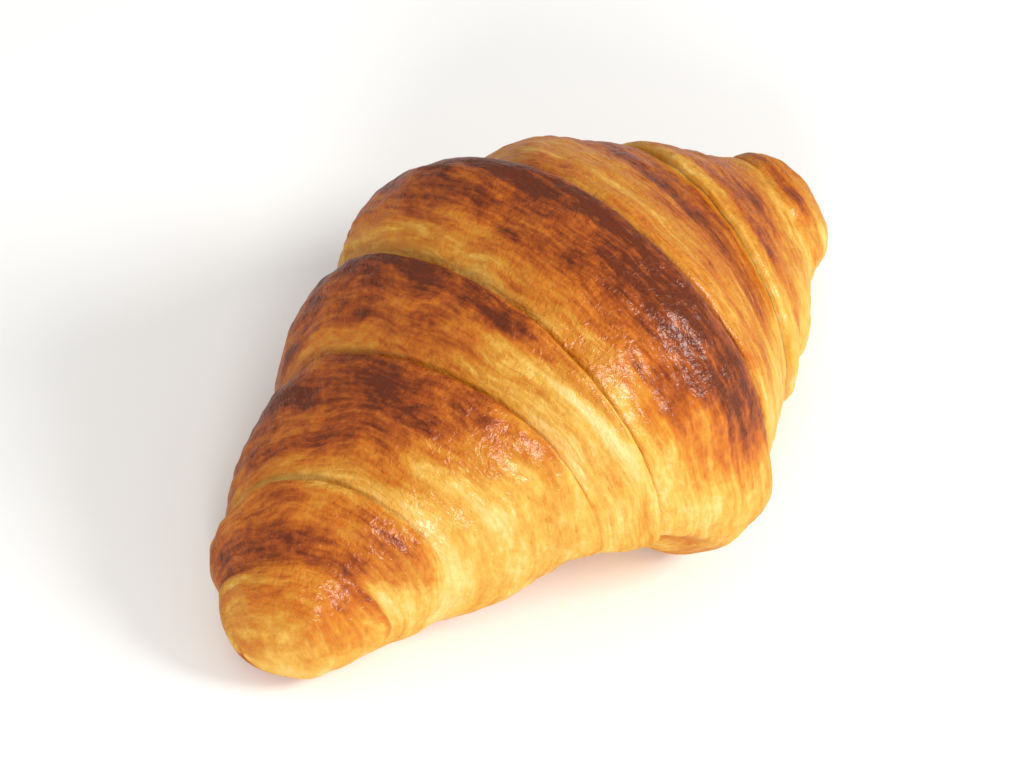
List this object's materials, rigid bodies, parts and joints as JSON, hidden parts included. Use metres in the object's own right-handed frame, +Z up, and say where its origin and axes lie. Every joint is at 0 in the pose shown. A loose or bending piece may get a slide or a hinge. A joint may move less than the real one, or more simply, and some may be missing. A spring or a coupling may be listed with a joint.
{
  "type": "croissant",
  "caption": "Baked croissant: a straight roll of laminated dough with stepped windings, blunt tips and a tongue tucked under, on a flat underside.",
  "frame": {"origin": "on the ground under the centre of the croissant's box, at the level of its flat underside", "axes": "+X along the roll from the slim tip to the blunt tip, +Z up, -Y the front, where the tongue is tucked under"},
  "size_m": [0.133, 0.084, 0.0621],
  "materials": {
    "crust": "glazed golden-brown baked crust"
  },
  "bodies": {
    "root": {"croissant": "crust"}
  },
  "joints": []
}
